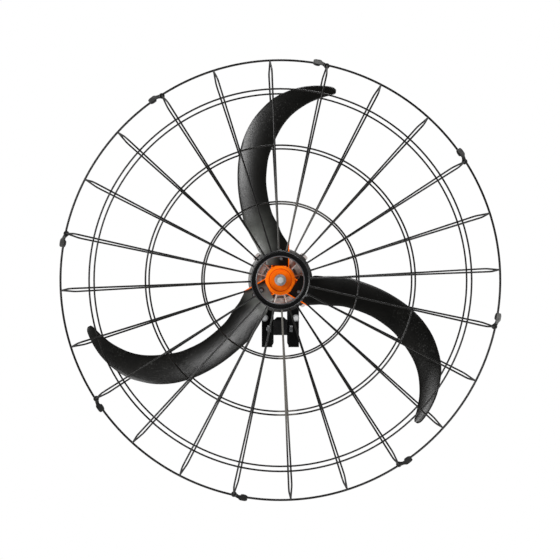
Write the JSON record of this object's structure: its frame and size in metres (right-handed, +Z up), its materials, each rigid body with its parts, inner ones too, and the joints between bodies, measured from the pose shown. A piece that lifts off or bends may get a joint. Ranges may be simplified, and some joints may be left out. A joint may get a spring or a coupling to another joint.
{
  "type": "wall fan",
  "caption": "Wall fan of one metre: black wire guard with snap clips, three sickle blades on an orange hub, cast motor and a bracket that tilts.",
  "frame": {"origin": "on the wall face of the bracket's plate, level with the rotor's axis at no tilt", "axes": "+Y into the wall, +Z up, the fan blows towards -Y"},
  "size_m": [0.9994, 0.3585, 0.9994],
  "materials": {
    "black_wire": "satin black powder coat",
    "black_steel": "satin black powder coat",
    "black_plastic": "fine moulded grain",
    "clip_plastic": "dark grey, moulded",
    "orange_plastic": "satin orange",
    "cast_aluminium": "die-cast",
    "bright_steel": "zinc plated",
    "core_steel": "laminated sheet",
    "copper_winding": "varnished copper wire"
  },
  "bodies": {
    "bracket": {"wall_bracket": "black_steel", "spacer_block": "black_plastic", "wall_screw_1": "bright_steel", "wall_screw_2": "bright_steel", "wall_screw_3": "bright_steel", "wall_screw_4": "bright_steel", "wall_washer_1": "bright_steel", "wall_washer_2": "bright_steel", "wall_washer_3": "bright_steel", "wall_washer_4": "bright_steel", "tilt_bolt": "bright_steel", "tilt_nut": "bright_steel", "tilt_washer_left": "bright_steel", "tilt_washer_right": "bright_steel"},
    "head": {"tilt_fork": "black_steel", "motor_screw_1": "bright_steel", "motor_screw_2": "bright_steel", "motor_screw_3": "bright_steel", "motor_screw_4": "bright_steel", "capacitor": "black_plastic", "capacitor_strap": "bright_steel", "cable_gland": "black_plastic", "motor_rear_shell": "cast_aluminium", "motor_front_shield": "cast_aluminium", "tie_bolt_1": "bright_steel", "tie_bolt_2": "bright_steel", "tie_bolt_3": "bright_steel", "tie_bolt_4": "bright_steel", "stator_core": "core_steel", "winding_front": "copper_winding", "winding_rear": "copper_winding", "bearing_front": "bright_steel", "bearing_rear": "bright_steel", "rear_guard": "black_wire", "front_guard": "black_wire", "badge_ring": "black_plastic"},
    "rotor": {"motor_shaft": "bright_steel", "rotor_core": "core_steel", "hub": "orange_plastic", "hub_washer": "bright_steel", "hub_bolt": "bright_steel", "blade_1": "black_plastic", "blade_2": "black_plastic", "blade_3": "black_plastic", "blade_screw_1a": "bright_steel", "blade_screw_1b": "bright_steel", "blade_screw_2a": "bright_steel", "blade_screw_2b": "bright_steel", "blade_screw_3a": "bright_steel", "blade_screw_3b": "bright_steel"},
    "clip_1": {"rim_clip_1": "clip_plastic"},
    "clip_2": {"rim_clip_2": "clip_plastic"},
    "clip_3": {"rim_clip_3": "clip_plastic"},
    "clip_4": {"rim_clip_4": "clip_plastic"},
    "clip_5": {"rim_clip_5": "clip_plastic"},
    "clip_6": {"rim_clip_6": "clip_plastic"},
    "clip_7": {"rim_clip_7": "clip_plastic"},
    "clip_8": {"rim_clip_8": "clip_plastic"}
  },
  "joints": [
    {"name": "head_tilt", "type": "hinge", "parent": "bracket", "child": "head", "pos_m": [0, -0.045, -0.114], "axis": [1, 0, 0], "range_deg": [-10, 20]},
    {"name": "rotor_spin", "type": "hinge", "parent": "head", "child": "rotor", "pos_m": [0, -0.225, 0], "axis": [0, -1, 0], "continuous": true},
    {"name": "rim_clip_1_hinge", "type": "hinge", "parent": "head", "child": "clip_1", "pos_m": [0.41589, -0.225, 0.26751], "axis": [0, 1, 0], "range_deg": [0, 60]},
    {"name": "rim_clip_2_hinge", "type": "hinge", "parent": "head", "child": "clip_2", "pos_m": [0.10492, -0.225, 0.48324], "axis": [0, 1, 0], "range_deg": [0, 60]},
    {"name": "rim_clip_3_hinge", "type": "hinge", "parent": "head", "child": "clip_3", "pos_m": [-0.26751, -0.225, 0.41589], "axis": [0, 1, 0], "range_deg": [0, 60]},
    {"name": "rim_clip_4_hinge", "type": "hinge", "parent": "head", "child": "clip_4", "pos_m": [-0.48324, -0.225, 0.10492], "axis": [0, 1, 0], "range_deg": [0, 60]},
    {"name": "rim_clip_5_hinge", "type": "hinge", "parent": "head", "child": "clip_5", "pos_m": [-0.41589, -0.225, -0.26751], "axis": [0, 1, 0], "range_deg": [0, 60]},
    {"name": "rim_clip_6_hinge", "type": "hinge", "parent": "head", "child": "clip_6", "pos_m": [-0.10492, -0.225, -0.48324], "axis": [0, 1, 0], "range_deg": [0, 60]},
    {"name": "rim_clip_7_hinge", "type": "hinge", "parent": "head", "child": "clip_7", "pos_m": [0.26751, -0.225, -0.41589], "axis": [0, 1, 0], "range_deg": [0, 60]},
    {"name": "rim_clip_8_hinge", "type": "hinge", "parent": "head", "child": "clip_8", "pos_m": [0.48324, -0.225, -0.10492], "axis": [0, 1, 0], "range_deg": [0, 60]}
  ]
}
